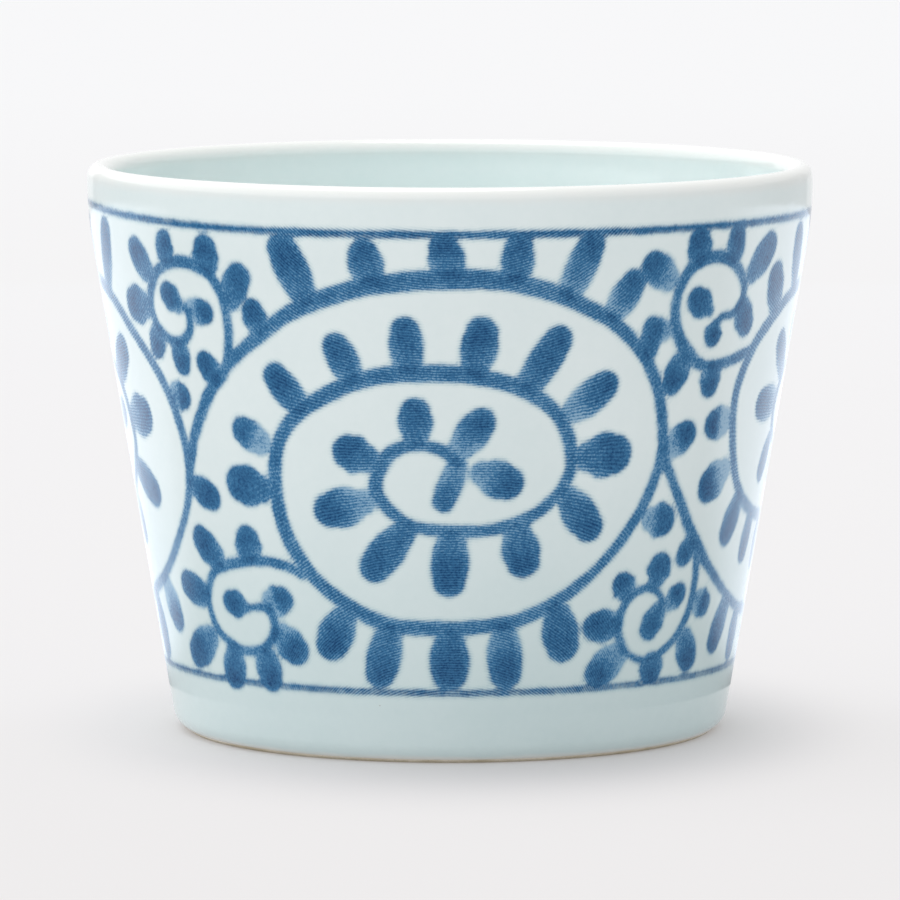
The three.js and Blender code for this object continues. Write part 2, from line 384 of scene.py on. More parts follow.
UPPER_BORDER = Vine((
    (-182.0, 59.35, 0.6), (-140.0, 59.6, 0.6), (-100.0, 60.05, 0.55), (-80.0, 60.05, 0.5),
    (-58.0, 59.65, 0.55), (-35.0, 59.25, 0.6), (0.0, 59.15, 0.65), (40.0, 59.2, 0.62), (90.0, 59.15, 0.6),
    (140.0, 59.15, 0.6), (182.0, 59.35, 0.6),
), 1.08)
LOWER_BORDER = Vine((
    (-182.0, 8.2, 0.48), (-120.0, 8.3, 0.48), (-60.0, 8.15, 0.42), (0.0, 8.1, 0.5), (60.0, 8.1, 0.42),
    (120.0, 8.15, 0.48), (182.0, 8.2, 0.48),
), 1.15)

FRONT_PANEL = Panel(
    (FRONT_SCROLL, UPPER_LEFT_CURL, UPPER_RIGHT_CURL, LOWER_LEFT_CURL, LOWER_RIGHT_CURL), FRONT_LEAVES
)
SIDE_PANEL = Panel((SIDE_SCROLL,), SIDE_LEAVES)


@dataclass
class CobaltPrint:
    """The blue print, worked out at every point of the wall as distances to its edges and a tone."""

    section: CupSection
    placing: tuple[tuple[Panel, float], ...] = (
        (FRONT_PANEL, 0.0), (SIDE_PANEL, QUARTER), (FRONT_PANEL, 2 * QUARTER), (SIDE_PANEL, -QUARTER),
    )
    borders: tuple[Vine, ...] = (UPPER_BORDER, LOWER_BORDER)
    reach: float = 3.0
    bleed: float = 1.5
    tip_share: float = 0.86
    tip_pull: float = 0.6
    root_cover: float = 0.8
    degrees: np.ndarray = field(init=False)
    heights: np.ndarray = field(init=False)
    edge: np.ndarray = field(init=False)
    tone: np.ndarray = field(init=False)

    def painted(self, degrees: np.ndarray, heights: np.ndarray) -> tuple[np.ndarray, np.ndarray, np.ndarray]:
        """Paints every stroke over a grid of places on the wall.

        Args:
            degrees: Angles of the grid's columns, from the front and growing to the right.
            heights: Heights of the grid's rows, in millimetres.

        Returns:
            The distance to the nearest edge of the print, in millimetres and negative inside it,
            the tone of the ink, and the distance to the nearest place where two strokes lap.
            Each has one row for every height.
        """
        self.degrees, self.heights = degrees, heights
        self.tone = np.zeros((len(heights), len(degrees)))
        borders = [(border, 0.0) for border in self.borders]
        stems = [(vine, turn) for panel, turn in self.placing for vine in panel.vines]
        leaves = [(leaf, turn) for panel, turn in self.placing for leaf in panel.leaves]
        layers = []
        for strokes, paint in ((borders, self._vine), (stems, self._vine), (leaves, self._leaf)):
            self.edge = np.full_like(self.tone, self.reach)
            for stroke, turn in strokes:
                paint(stroke, turn)
            layers.append(self.edge)
        nearest = np.sort(np.stack(layers), axis=0)
        return nearest[0], self.tone, nearest[1]

    def _vine(self, vine: Vine, turn: float) -> None:
        """Paints a stem.

        Args:
            vine: The stem to paint.
            turn: Angle by which its panel is turned round the cup, in degrees.
        """
        beads = vine.beads()
        for start, end in zip(beads, beads[1:]):
            self._stroke(start[:2], end[:2], (start[2] / 2, end[2] / 2), turn, (vine.tone,) * 2)

    def _leaf(self, leaf: Leaf, turn: float) -> None:
        """Paints a leaf as an egg that grows out of its root and ends round at its tip.

        Args:
            leaf: The leaf to paint.
            turn: Angle by which its panel is turned round the cup, in degrees.
        """
        scale = float(self.section.wall_radius(np.array(leaf.tip[1]))) * DEGREE
        root, tip = np.array(leaf.root), np.array(leaf.tip)
        length = math.hypot((tip[0] - root[0]) * scale, tip[1] - root[1])
        half = leaf.width / 2
        neck, end = leaf.neck * half, self.tip_share * half
        along = (tip - root) / length
        belly = half - ((1 - self.tip_pull) * neck + self.tip_pull * end)
        start = root + self.root_cover * neck * along
        self._stroke(start, tip - end * along, (neck, end), turn, (1.0 - leaf.fade, 1.0), belly)

    def _stroke(self, start: np.ndarray, end: np.ndarray, radii: Place, turn: float, tones: Place,
                belly: float = 0.0) -> None:
        """Lays one brush stroke with round ends over the grid.

        Args:
            start: Angle and height of the first end's centre.
            end: Angle and height of the second end's centre.
            radii: Radius of the stroke at either end, in millimetres.
            turn: Angle by which the stroke is turned round the cup, in degrees.
            tones: Tone of the ink at either end.
            belly: How much wider than straight the stroke's half width is in its middle.
        """
        margin = max(radii) + belly + self.reach / 2
        low, high = sorted((start[1], end[1]))
        rows = np.flatnonzero((self.heights > low - margin) & (self.heights < high + margin))
        away = (self.degrees - turn - start[0] + 180.0) % 360.0 - 180.0
        span = end[0] - start[0]
        wide = margin / (self.section.cone_base_radius * DEGREE)
        columns = np.flatnonzero((away > min(span, 0) - wide) & (away < max(span, 0) + wide))
        if not len(rows) or not len(columns):
            return
        heights = self.heights[rows][:, None]
        scale = self.section.wall_radius(heights) * DEGREE
        across, up = away[columns][None, :] * scale, heights - start[1]
        run, rise = span * scale, end[1] - start[1]
        share = np.clip((across * run + up * rise) / (run**2 + rise**2 + 1e-9), 0, 1)
        radius = radii[0] + (radii[1] - radii[0]) * share + belly * 4 * share * (1 - share)
        distance = np.hypot(across - share * run, up - share * rise) - radius
        eased = share * share * (3 - 2 * share)
        tone = tones[0] + (tones[1] - tones[0]) * eased - self.bleed * np.maximum(distance, 0)
        window = np.ix_(rows, columns)
        self.edge[window] = np.minimum(self.edge[window], distance)
        self.tone[window] = np.maximum(self.tone[window], tone)


# ---------------- turned meshes


def hang(name: str, data: bpy.types.ID) -> bpy.types.Object:
    """Makes an object and links it to the scene.

    Args:
        name: Name of the new object.
        data: Its mesh, its lamp or its camera.

    Returns:
        The object.
    """
    made = bpy.data.objects.new(name, data)
    bpy.context.scene.collection.objects.link(made)
    return made


@dataclass
class TurnedMesh:
    """A section turned round the cup's axis: its corners, its faces and where each face lies."""

    section: np.ndarray
    columns: int
    closed: bool = False
    sharp_angle: float = 40.0

    def build(self, name: str) -> bpy.types.Object:
        """Makes the mesh, shades it smooth but for its sharp edges, and links it to the scene.

        Args:
            name: Name of the new object.

        Returns:
            The object.
        """
        turns = np.linspace(-math.pi, math.pi, self.columns, endpoint=False)
        on_axis = self.section[:, 0] < 1e-6
        counts = np.where(on_axis, 1, self.columns)
        first = np.concatenate([[0], np.cumsum(counts)])
        corners = []
        for (radius, height), pole in zip(self.section, on_axis):
            angles = turns[:1] if pole else turns
            ring = [radius * np.sin(angles), -radius * np.cos(angles), np.full(len(angles), height)]
            corners.append(np.stack(ring, 1))
        faces: list[tuple[int, ...]] = []
        around = np.arange(self.columns)
        rows = len(self.section)
        for low in range(rows if self.closed else rows - 1):
            high = (low + 1) % rows
            near, far = [], []
            for column in (around, (around + 1) % self.columns):
                near.append(first[low] + (0 if on_axis[low] else column))
                far.append(first[high] + (0 if on_axis[high] else column))
            if on_axis[low]:
                loop = (np.full(self.columns, near[0]), far[1], far[0])
            elif on_axis[high]:
                loop = (near[0], near[1], np.full(self.columns, far[0]))
            else:
                loop = (near[0], near[1], far[1], far[0])
            faces.extend(zip(*(part.tolist() for part in loop)))
        mesh = bpy.data.meshes.new(name)
        mesh.from_pydata((np.concatenate(corners) * MM).tolist(), [], faces)
        mesh.polygons.foreach_set("use_smooth", np.ones(len(mesh.polygons), bool))
        mesh.set_sharp_from_angle(angle=self.sharp_angle * DEGREE)
        mesh.update()
        return hang(name, mesh)


# ---------------- shader nodes


def shade(code: str) -> Colour:
    """Turns a colour as it looks on a screen into the linear one that shaders take.

    Args:
        code: Six hexadecimal digits, two each for red, green and blue.

    Returns:
        Red, green, blue and full opacity.
    """
    parts = [int(code[place:place + 2], 16) / 255 for place in (0, 2, 4)]
    return (*(part / 12.92 if part < 0.04045 else ((part + 0.055) / 1.055) ** 2.4 for part in parts), 1.0)


@dataclass
class Wiring:
    """Places shader nodes in one tree and joins them."""

    tree: bpy.types.NodeTree

    def feed(self, node: bpy.types.Node, inputs: dict[str | int, object]) -> None:
        """Sets a node's inputs.

        Args:
            node: The node.
            inputs: A value or another node's socket for each input, by name or by number.
        """
        for key, value in inputs.items():
            if isinstance(value, Socket):
                self.tree.links.new(value, node.inputs[key])
            else:
                node.inputs[key].default_value = value

    def place(self, kind: str, inputs: dict[str | int, object], **settings: object) -> bpy.types.Node:
        """Adds a node.

        Args:
            kind: Type of node, without its common prefix.
            inputs: A value or another node's socket for each input, by name or by number.
            settings: The node's own settings.

        Returns:
            The node.
        """
        node = self.tree.nodes.new(f"ShaderNode{kind}")
        for name, value in settings.items():
            setattr(node, name, value)
        self.feed(node, inputs)
        return node

    def sum(self, operation: str, *terms: object) -> Socket:
        """The result of one arithmetic step on numbers or sockets."""
        return self.place("Math", dict(enumerate(terms)), operation=operation).outputs[0]

    def centred(self, value: Socket, amount: float) -> Socket:
        """A value from 0 to 1 scaled by an amount and moved so that its middle is 0."""
        return self.sum("MULTIPLY_ADD", value, amount, -amount / 2)

    def spread(self, value: object, low: float, high: float, start: float = 0.0, end: float = 1.0,
               curve: str = "SMOOTHSTEP") -> Socket:
        """Maps a value from one range to another and holds it inside.

        Args:
            value: Socket to map.
            low: Value that gives start.
            high: Value that gives end.
            start: Result at low.
            end: Result at high.
            curve: How the result runs between them.

        Returns:
            The mapped value's socket.
        """
        ends = {"Value": value, "From Min": low, "From Max": high, "To Min": start, "To Max": end}
        return self.place("MapRange", ends, interpolation_type=curve).outputs["Result"]

    def blend(self, share: object, first: object, second: object, mode: str = "MIX") -> Socket:
        """Mixes two colours.

        Args:
            share: How much of the second one shows, from 0 to 1.
            first: Colour or socket below.
            second: Colour or socket above.
            mode: How the second one is laid over the first.

        Returns:
            The mixed colour's socket.
        """
        node = self.place("Mix", {0: share, 6: first, 7: second}, data_type="RGBA", blend_type=mode)
        return node.outputs[2]

    def noise(self, place: object, scale: float, detail: float = 2.0, rough: float = 0.5) -> Socket:
        """Soft random value at a place, with the given number of waves to the millimetre."""
        inputs = {"Vector": place, "Scale": scale, "Detail": detail, "Roughness": rough}
        return self.place("TexNoise", inputs).outputs[0]

    def millimetres(self) -> Socket:
        """Place on the piece, in millimetres."""
        coordinates = self.place("TexCoord", {}).outputs["Object"]
        return self.place("VectorMath", {0: coordinates, "Scale": 1 / MM}, operation="SCALE").outputs[0]

    def part(self, place: Socket, axis: int) -> Socket:
        """One of a place's three coordinates, by number."""
        return self.place("SeparateXYZ", {0: place}).outputs[axis]

    def length(self, place: Socket) -> Socket:
        """Distance of a place from the origin."""
        return self.place("VectorMath", {0: place}, operation="LENGTH").outputs["Value"]

    def measured(self, name: str) -> Socket:
        """A number that the mesh carries at each corner."""
        return self.place("Attribute", {}, attribute_name=name).outputs["Fac"]


@dataclass
class Paint:
    """A new material, with the means to wire its shader."""

    name: str
    material: bpy.types.Material = field(init=False)
    wiring: Wiring = field(init=False)

    def __post_init__(self) -> None:
        """Makes the material with its plain shader."""
        self.material = bpy.data.materials.new(self.name)
        self.material.use_nodes = True
        self.wiring = Wiring(self.material.node_tree)

    def finish(self, inputs: dict[str | int, object]) -> bpy.types.Material:
        """Sets the shader's inputs.

        Args:
            inputs: A value or a socket for each of them, by name.

        Returns:
            The finished material.
        """
        self.wiring.feed(self.material.node_tree.nodes["Principled BSDF"], inputs)
        return self.material


class SocketKind(Enum):
    """What a group's socket carries."""

    NUMBER = "NodeSocketFloat"
    COLOUR = "NodeSocketColor"
    PLACE = "NodeSocketVector"


@dataclass
class EffectGroup:
    """A shader node group that several finishes share."""

    name: str
    takes: dict[str, SocketKind]
    gives: dict[str, SocketKind]
    wiring: Wiring = field(init=False)
    taken: bpy.types.NodeOutputs = field(init=False)

    def __post_init__(self) -> None:
        """Makes the group, with its named inputs and outputs."""
        tree = bpy.data.node_groups.new(self.name, "ShaderNodeTree")
        for names, side in ((self.takes, "INPUT"), (self.gives, "OUTPUT")):
            for socket, kind in names.items():
                tree.interface.new_socket(name=socket, in_out=side, socket_type=kind.value)
        self.wiring = Wiring(tree)
        self.taken = tree.nodes.new("NodeGroupInput").outputs

    def give(self, results: dict[str | int, object]) -> None:
        """Joins the group's results to its outputs.

        Args:
            results: Socket for each output's name.
        """
        self.wiring.feed(self.wiring.tree.nodes.new("NodeGroupOutput"), results)

    def use(self, wiring: Wiring, inputs: dict[str | int, object]) -> bpy.types.NodeOutputs:
        """Places the group in a finish.

        Args:
            wiring: The finish's own nodes.
            inputs: Values or sockets for the group's inputs.

        Returns:
            The group's outputs in that finish.
        """
        return wiring.place("Group", inputs, node_tree=self.wiring.tree).outputs


@dataclass
class KilnEffects:
    """The effects of the kiln that every surface of the cup shows in its own measure."""

    smallest_speck: float = 0.55
    speck_edge: Span = (-0.02, 0.06)
    cloud_scale: float = 0.045
    cloud_share: float = 0.5
    mottle_scale: float = 0.9
    mottle_share: float = 0.16
    gloss_change: float = 0.08
    wave_scale: float = 0.16
    peel_scale: float = 0.75
    peel_share: float = 0.12
    specks: EffectGroup = field(init=False)
    depth: EffectGroup = field(init=False)

    def __post_init__(self) -> None:
        """Builds both groups once."""
        self.specks = self._specks()
        self.depth = self._depth()

    def _specks(self) -> EffectGroup:
        """Scattered specks of iron and pinholes.

        Returns:
            The group, which gives their mask.
        """
        number = SocketKind.NUMBER
        takes = {"Place": SocketKind.PLACE, "Density": number, "Size": number}
        group = EffectGroup("Kiln Specks", takes, {"Mask": number})
        wiring, taken = group.wiring, group.taken
        cells = wiring.place("TexVoronoi", {"Vector": taken["Place"], "Scale": taken["Density"]}).outputs
        chance = wiring.place("SeparateColor", {0: cells["Color"]}).outputs[0]
        size = wiring.sum("MULTIPLY", taken["Size"], wiring.spread(chance, self.smallest_speck, 1.0))
        apart = wiring.sum("DIVIDE", cells["Distance"], taken["Density"])
        group.give({"Mask": wiring.spread(wiring.sum("SUBTRACT", size, apart), *self.speck_edge)})
        return group

    def _depth(self) -> EffectGroup:
        """Glaze that is clouded, waved and thicker in some places than in others.

        Returns:
            The group, which gives the glaze's colour, roughness and height.
        """
        number, colour = SocketKind.NUMBER, SocketKind.COLOUR
        takes = {"Place": SocketKind.PLACE, "Thin": colour, "Thick": colour, "Pool": number, "Gloss": number}
        gives = {"Colour": colour, "Roughness": number, "Height": number}
        group = EffectGroup("Glaze Depth", takes, gives)
        wiring, taken = group.wiring, group.taken
        cloud = wiring.noise(taken["Place"], self.cloud_scale, 3.0, 0.55)
        mottle = wiring.noise(taken["Place"], self.mottle_scale, 3.0, 0.6)
        wave = wiring.noise(taken["Place"], self.wave_scale, 1.0)
        peel = wiring.noise(taken["Place"], self.peel_scale, 1.0)
        drifted = wiring.sum("ADD", taken["Pool"], wiring.centred(cloud, self.cloud_share))
        share = wiring.sum("ADD", drifted, wiring.centred(mottle, self.mottle_share))
        group.give({
            "Colour": wiring.blend(wiring.spread(share, 0, 1, curve="LINEAR"), taken["Thin"], taken["Thick"]),
            "Roughness": wiring.sum("ADD", taken["Gloss"], wiring.centred(mottle, self.gloss_change)),
            "Height": wiring.sum("MULTIPLY_ADD", peel, self.peel_share, wave),
        })
        return group


# ---------------- finishes


@dataclass(frozen=True)
class Grain:
    """Noise in the ink: how fine it is, where it starts and is full, and how much it darkens."""

    scale: float
    rough: float
    start: float
    full: float
    weight: float


@dataclass(frozen=True)
class CobaltInk:
    """Look of the printed cobalt: its tones and the grain that the screen and the kiln leave in it."""

    full: str = "07406F"
    thin: str = "4C90BE"
    halo: str = "BCD3DC"
    drawn_in: float = -0.12
    softness: float = 0.27
    ragged: float = 0.3
    ragged_scale: float = 2.3
    uneven: float = 0.3
    uneven_scale: float = 0.55
    halo_width: float = 0.6
    halo_share: float = 0.4
    mesh_pitch: float = 0.29
    mesh_strength: float = 0.42
    mesh_waver: float = 0.25
    waver_scale: float = 0.8
    mesh_bite: float = 0.06
    core: Span = (-0.1, -1.3)
    core_weight: float = 0.28
    lap: Span = (0.1, -0.35)
    lap_weight: float = 0.2
    stipple: Grain = Grain(3.6, 0.7, 0.34, 0.7, 0.45)
    blotch: Grain = Grain(0.35, 0.5, 0.3, 0.7, 0.2)
    tones: Span = (0.66, 1.92)
    cover_tones: Span = (0.5, 1.3)
    least_cover: float = 0.6

    def over(self, wiring: Wiring, place: Socket, glaze: Socket) -> tuple[Socket, Socket]:
        """Lays the ink over the glaze's own colour.

        Args:
            wiring: The finish's nodes.
            place: Place on the cup, in millimetres.
            glaze: Colour of the glaze without ink.

        Returns:
            Sockets of the coloured glaze and of the ink's mask.
        """
        lines = self._lines(wiring, place)
        ragged = wiring.sum("SUBTRACT", wiring.noise(place, self.ragged_scale, 3.0, 0.6), 0.5)
        uneven = wiring.sum("SUBTRACT", wiring.noise(place, self.uneven_scale, 1.0), 0.5)
        edge = wiring.sum("ADD", wiring.measured("print_edge"), self.drawn_in)
        for change, amount in ((uneven, self.uneven), (lines, -self.mesh_bite), (ragged, self.ragged)):
            edge = wiring.sum("MULTIPLY_ADD", change, amount, edge)
        mask = wiring.spread(edge, self.softness, -self.softness)
        bleed = wiring.spread(edge, self.halo_width, 0.0, 0.0, self.halo_share)
        core = wiring.spread(edge, *self.core)
        lap = wiring.spread(wiring.sum("ADD", wiring.measured("print_lap"), ragged), *self.lap)
        parts = [(core, self.core_weight), (lap, self.lap_weight)]
        for grain in (self.stipple, self.blotch):
            cloud = wiring.noise(place, grain.scale, 2.0, grain.rough)
            parts.append((wiring.spread(cloud, grain.start, grain.full), grain.weight))
        parts.append((lines, self.mesh_strength / 2))
        strength = wiring.measured("print_tone")
        for part, weight in parts:
            strength = wiring.sum("MULTIPLY_ADD", part, weight, strength)
        share = wiring.spread(strength, *self.tones, curve="LINEAR")
        ink = wiring.blend(share, shade(self.thin), shade(self.full))
        solid = wiring.spread(strength, *self.cover_tones, self.least_cover, 1.0)
        stained = wiring.blend(bleed, glaze, wiring.blend(1.0, glaze, shade(self.halo), "MULTIPLY"))
        return wiring.blend(wiring.sum("MULTIPLY", mask, solid), stained, ink), mask

    def _lines(self, wiring: Wiring, place: Socket) -> Socket:
        """Fine wavering lines that the printing screen leaves in the ink, from -1 to 1.

        Args:
            wiring: The finish's nodes.
            place: Place on the cup, in millimetres.

        Returns:
            Socket of the lines' strength.
        """
        waver = wiring.noise(place, self.waver_scale)
        height = wiring.sum("MULTIPLY_ADD", waver, self.mesh_waver, wiring.measured("mesh_height"))
        phase = wiring.sum("MULTIPLY", height, 2 * math.pi / self.mesh_pitch)
        return wiring.sum("MULTIPLY", wiring.sum("SINE", phase), wiring.measured("mesh_share"))


@dataclass(frozen=True)
class Glaze:
    """A glossy coat: its colour where it is thin and thick, and where on the cup it pools."""

    name: str
    thin: str
    thick: str
    gloss: float = 0.09
    index: float = 1.5
    pool_low: float = 0.0
    pool_high: float = 30.0
    pool_least: float = 0.15
    pool_most: float = 0.6
    lip: str = "EFEEEA"
    lip_width: float = 2.0
    lip_share: float = 0.8
    hem: float = 0.0
    hem_share: float = 0.85
    edge_waver: float = 0.5
    waver_scale: float = 0.25
    waves: float = 0.05
    ink_relief: float = 0.02
    speck: str = "7A6F5C"
    speck_share: float = 0.55
    speck_depth: float = 0.3
    speck_density: float = 0.16
    speck_size: float = 0.2

    def made(self, effects: KilnEffects, lip_height: float,
             ink: CobaltInk | None = None) -> bpy.types.Material:
        """Builds the material.

        Args:
            effects: The kiln's shared effects.
            lip_height: Height of the lip's crest, in millimetres.
            ink: Print under the glaze, if there is one.

        Returns:
            The material.
        """
        paint = Paint(self.name)
        wiring = paint.wiring
        place = wiring.millimetres()
        height = wiring.part(place, 2)
        depth = effects.depth.use(wiring, {
            "Place": place,
            "Thin": shade(self.thin),
            "Thick": shade(self.thick),
            "Pool": wiring.spread(height, self.pool_high, self.pool_low, self.pool_least, self.pool_most),
            "Gloss": self.gloss,
        })
        waver = wiring.noise(place, self.waver_scale)
        uneven = wiring.sum("MULTIPLY_ADD", waver, self.edge_waver, height)
        lip = wiring.spread(uneven, lip_height - self.lip_width, lip_height + 0.1, 0.0, self.lip_share)
        colour = wiring.blend(lip, depth["Colour"], shade(self.lip))
        if self.hem:
            thinned = wiring.spread(uneven, self.hem, self.hem * 0.4, 0.0, self.hem_share)
            colour = wiring.blend(thinned, colour, shade(self.lip))
        relief = depth["Height"]
        if ink:
            colour, mask = ink.over(wiring, place, colour)
            relief = wiring.sum("MULTIPLY_ADD", mask, self.ink_relief, relief)
        where = {"Place": place, "Density": self.speck_density, "Size": self.speck_size}
        specks = effects.specks.use(wiring, where)["Mask"]
        colour = wiring.blend(wiring.sum("MULTIPLY", specks, self.speck_share), colour, shade(self.speck))
        relief = wiring.sum("MULTIPLY_ADD", specks, -self.speck_depth, relief)
        bump = wiring.place("Bump", {"Strength": 1.0, "Distance": self.waves * MM, "Height": relief})
        return paint.finish({
            "Base Color": colour,
            "Roughness": depth["Roughness"],
            "Normal": bump.outputs[0],
            "IOR": self.index,
        })


@dataclass(frozen=True)
class BareClay:
    """Unglazed porcelain, as the foot ring shows it: matt, finely grained and darker towards its lowest edge.
    """

    name: str = "bare_porcelain"
    pale: str = "EEE8DB"
    warm: str = "D3C8B0"
    darker_clay: str = "A69C80"
    speck: str = "5E5340"
    speck_share: float = 0.7
    speck_depth: float = 0.8
    speck_density: float = 0.45
    speck_size: float = 0.22
    cloud_scale: float = 0.12
    grain_scale: float = 4.0
    grain_share: float = 0.5
    low_darkening_heights: Span = (0.6, 0.25)
    low_darkening_share: float = 0.6
    bumps: float = 0.06
    roughness: Span = (0.62, 0.82)

    def made(self, effects: KilnEffects) -> bpy.types.Material:
        """Builds the material.

        Args:
            effects: The kiln's shared effects.

        Returns:
            The material.
        """
        paint = Paint(self.name)
        wiring = paint.wiring
        place = wiring.millimetres()
        darker_clay = shade(self.darker_clay)
        cloud = wiring.noise(place, self.cloud_scale, 3.0, 0.6)
        grain = wiring.noise(place, self.grain_scale, 3.0, 0.7)
        colour = wiring.blend(wiring.spread(cloud, 0.3, 0.72), shade(self.pale), shade(self.warm))
        colour = wiring.blend(wiring.spread(grain, 0.5, 0.8, 0.0, self.grain_share), colour, darker_clay)
        # Darker towards the foot's lowest edge, where it meets the floor.
        uneven = wiring.sum("MULTIPLY_ADD", wiring.noise(place, 0.6, 3.0), 0.5, wiring.part(place, 2))
        low_darkening = wiring.spread(uneven, *self.low_darkening_heights, 0.0, self.low_darkening_share)
        colour = wiring.blend(low_darkening, colour, darker_clay)
        where = {"Place": place, "Density": self.speck_density, "Size": self.speck_size}
        specks = effects.specks.use(wiring, where)["Mask"]
        colour = wiring.blend(wiring.sum("MULTIPLY", specks, self.speck_share), colour, shade(self.speck))
        relief = wiring.sum("MULTIPLY_ADD", specks, -self.speck_depth, grain)
        bump = wiring.place("Bump", {"Strength": 1.0, "Distance": self.bumps * MM, "Height": relief})
        return paint.finish({
            "Base Color": colour,
            "Roughness": wiring.spread(grain, 0.2, 0.8, *self.roughness),
            "Normal": bump.outputs[0],
        })


# ---------------- the cup


@dataclass
class Cup:
    """The whole cup: the clay, the printed coat outside, the liner coat inside and the coat under it."""

    section: CupSection
    effects: KilnEffects
    ink: CobaltInk = CobaltInk()
    outer_finish: Glaze = Glaze("printed_glaze", "E9F3F3", "C6DADB", pool_high=40.0, pool_most=0.75, hem=1.3)
    liner_finish: Glaze = Glaze(
        "liner_glaze", "EFF7F6", "CBE4E3", pool_low=5.0, pool_high=70.0, pool_most=0.8
    )
    well_finish: Glaze = Glaze("well_glaze", "DDE8E7", "BFD3D4", pool_low=1.6, pool_high=3.0)
    clay_finish: BareClay = BareClay()
    print_columns: int = 520
    print_step: float = 0.45
    lowest_print: float = 3.0
    past_print: float = 3.0
    plain_columns: int = 144
    plain_step: float = 2.0
    hidden_step: float = 8.0
    ring_step: float = 0.9
    mesh_middle: float = 35.0
    mesh_turn: float = 0.0004
    mesh_end: float = 40.0
    mesh_fade: float = 15.0
    mesh_least: float = 0.15
    bake_margin: float = 0.01
    bake_width: float = 0.48
    bake_height: float = 0.455
    bake_pitch: Place = (0.5, 0.475)
    bake_strip: Span = (0.96, 0.035)

    def build(self) -> None:
        """Makes every piece of the cup."""
        self._printed_coat()
        self._liner_coat()
        self._well_coat()
        self._clay()

    def _finish(self, piece: bpy.types.Object, material: bpy.types.Material, node: str) -> None:
        """Dresses a piece, lets it stand for its plain solid and reports it.

        Args:
            piece: The piece.
            material: Its material.
            node: Name of the solid that it replaces.
        """
        piece.data.materials.append(material)
        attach(piece, BODY)
        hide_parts(node)
        log.info("%s: %d faces, stands for %s, rides on %s", piece.name, len(piece.data.polygons), node, BODY)

    def _printed_coat(self) -> None:
        """The outer coat, fine enough to carry the print's outline at its corners."""
        skin = self.section.outside(self.print_step)
        back = inset(self.section.outside(self.hidden_step), self.section.glaze)[::-1]
        columns = self.print_columns
        piece = TurnedMesh(np.concatenate([skin, back]), columns, closed=True).build("printed_glaze_coat")
        degrees = np.linspace(-180, 180, columns, endpoint=False)
        heights = np.maximum(skin[:, 1], self.lowest_print)
        edge, tone, lap = CobaltPrint(self.section).painted(degrees, heights)
        local = (degrees + QUARTER / 2) % QUARTER - QUARTER / 2
        lines = heights[:, None] - self.mesh_turn * local**2 * (heights[:, None] - self.mesh_middle)
        clear = np.clip((self.mesh_end - np.abs(local)) / self.mesh_fade, self.mesh_least, 1.0)
        for name, values, beyond in (
            ("print_edge", edge, self.past_print),
            ("print_tone", tone, 0.0),
            ("print_lap", lap, self.past_print),
            ("mesh_height", lines, 0.0),
            ("mesh_share", clear * np.ones_like(edge), 0.0),
        ):
            layer = piece.data.attributes.new(name, "FLOAT", "POINT")
            hidden = np.full(len(back) * columns, beyond)
            layer.data.foreach_set("value", np.concatenate([values.ravel(), hidden]).astype(np.float32))
        self._bake_layout(piece.data, len(skin), len(back))
        finish = self.outer_finish.made(self.effects, self.section.height, self.ink)
        self._finish(piece, finish, "outer_glaze")

    def _bake_layout(self, mesh: bpy.types.Mesh, shown: int, hidden: int) -> None:
        """Spreads the coat flat as four quarter turns, with its hidden side in a strip above them.

        Args:
            mesh: The coat's mesh.
            shown: Rows of the visible skin.
            hidden: Rows of the hidden side.
        """
        columns, rows = self.print_columns, shown + hidden
        quarter = columns // 4
        low, column = np.divmod(np.arange(rows * columns), columns)
        side = np.stack([column, column + 1, column + 1, column], 1).astype(float)
        up = np.stack([low, low, low + 1, low + 1], 1).astype(float)
        cell = column // quarter
        left = self.bake_margin + self.bake_pitch[0] * (cell % 2)[:, None]
        bottom = self.bake_margin + self.bake_pitch[1] * (cell // 2)[:, None]
        across = left + self.bake_width * (side - (cell * quarter)[:, None]) / quarter
        along = bottom + self.bake_height * up / (shown - 1)
        strip = low >= shown - 1
        across[strip] = self.bake_margin + (1 - 2 * self.bake_margin) * side[strip] / columns
        along[strip] = self.bake_strip[0] + self.bake_strip[1] * (up[strip] - shown + 1) / (hidden + 1)
        layer = mesh.uv_layers.new(name="OFBake")
        layer.data.foreach_set("uv", np.stack([across, along], 2).ravel().astype(np.float32))

    def _coat(self, name: str, outline: np.ndarray, finish: Glaze, node: str) -> None:
        """A plain coat that crosses the axis.

        Args:
            name: Name of the piece.
            outline: Its section, as an array of rows of radius and height.
            finish: Its glaze, whose name is also that of the material slot.
            node: Name of the solid that it replaces.
        """
        piece = TurnedMesh(outline, self.plain_columns).build(name)
        self._finish(piece, finish.made(self.effects, self.section.height), node)

    def _liner_coat(self) -> None:
        """The coat inside the cup, from the crest of the lip to the floor."""
        skin = self.section.inside(self.plain_step)
        outline = np.concatenate([inset(skin, self.section.glaze)[::-1], skin])
        outline[0, 0] = 0.0
        self._coat("liner_glaze_coat", outline, self.liner_finish, "inner_glaze")

    def _well_coat(self) -> None:
        """The coat on the recess under the cup."""
        skin = self.section.well(self.plain_step)
        outline = np.concatenate([skin, inset(skin, self.section.glaze)[::-1]])
        outline[-1, 0] = 0.0
        self._coat("well_glaze_coat", outline, self.well_finish, "base_glaze")

